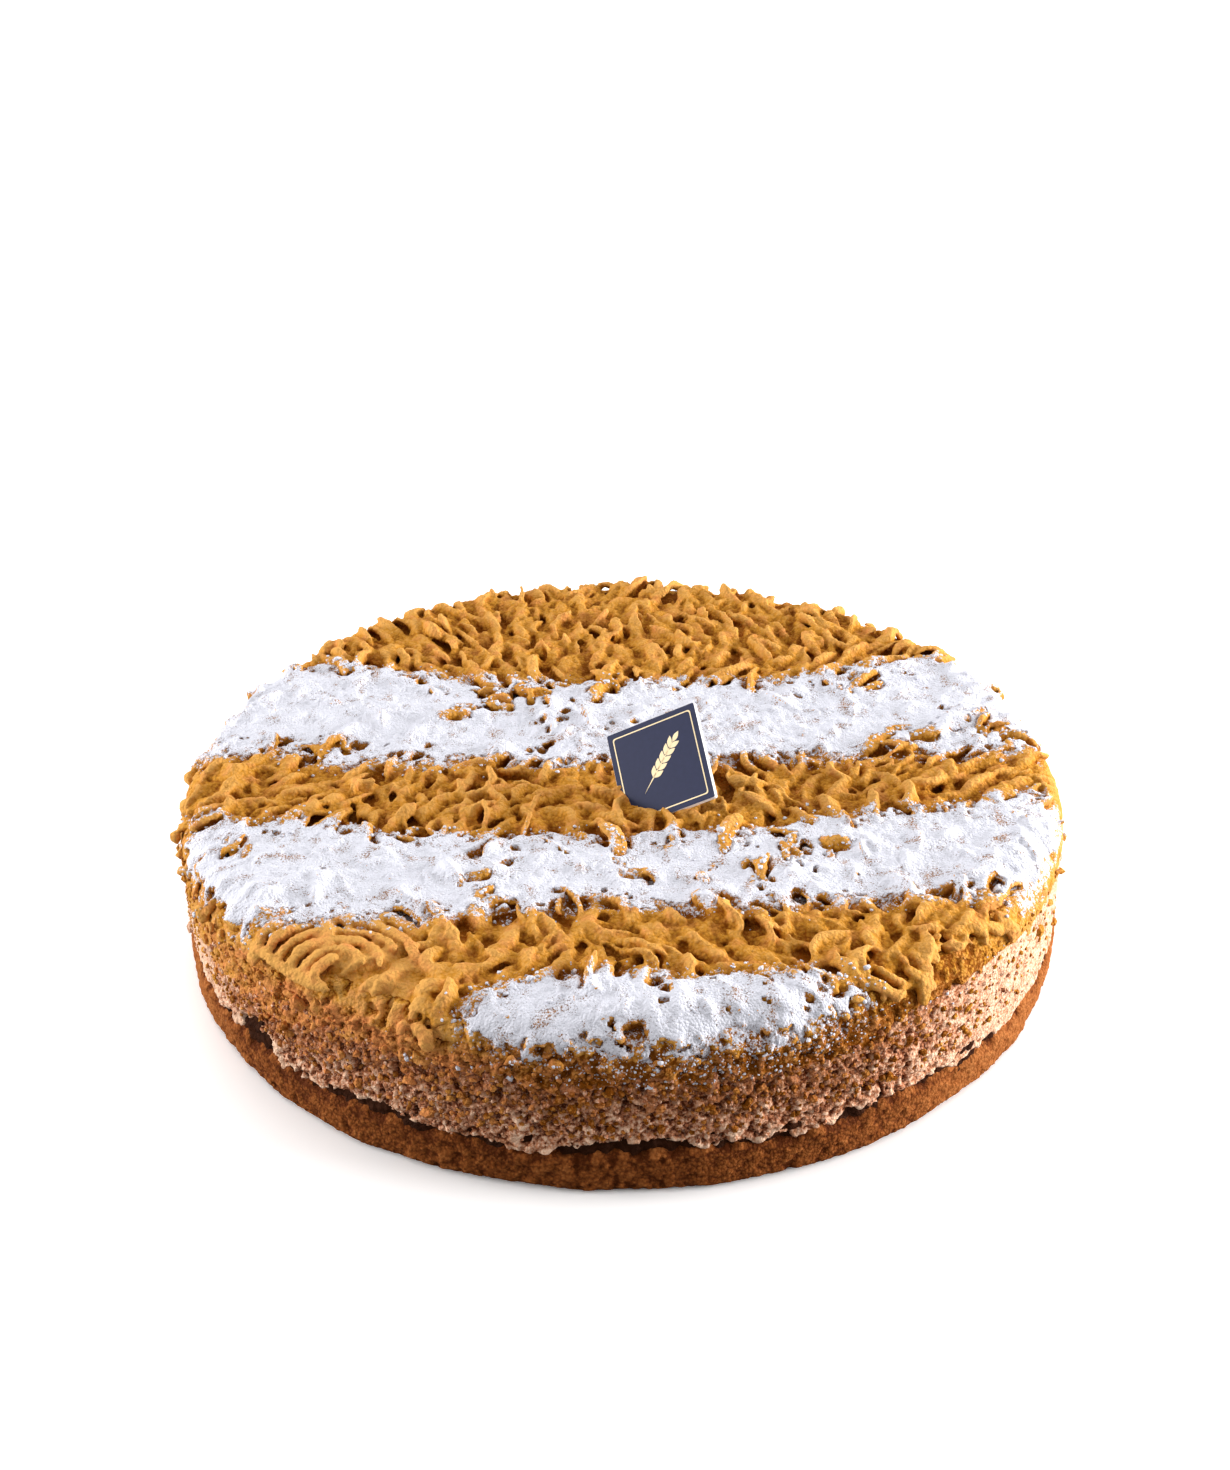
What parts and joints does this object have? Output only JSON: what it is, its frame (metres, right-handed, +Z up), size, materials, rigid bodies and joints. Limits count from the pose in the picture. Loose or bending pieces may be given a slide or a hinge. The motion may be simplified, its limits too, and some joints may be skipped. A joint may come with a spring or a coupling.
{
  "type": "karakum cake",
  "caption": "Round uncut karakum cake: shortcrust base, dark jam line, baked meringue and a lid of minced dough strands dusted with bands of icing sugar, with a blank plaque pushed in.",
  "frame": {"origin": "centre of the flat underside", "axes": "+Z up, the front of the cake towards -Y, the sugar bands run along X"},
  "size_m": [0.2591, 0.2601, 0.0766],
  "materials": {
    "shortcrust": "baked shortcrust with a fine open crumb",
    "jam": "dark cooked jam, sticky in places",
    "meringue": "dry baked meringue with nuts, craggy and porous",
    "baked_dough": "golden minced shortcrust strands, dry and matte",
    "icing_sugar": "sifted powder, matte",
    "plaque_card": "satin dark blue face on a white core"
  },
  "bodies": {
    "root": {"shortcrust_base": "shortcrust", "jam_layer": "jam", "meringue_layer": "meringue", "dough_lid": "baked_dough", "sugar_band_back": "icing_sugar", "sugar_band_middle": "icing_sugar", "sugar_band_front": "icing_sugar", "plaque": "plaque_card"}
  },
  "joints": []
}
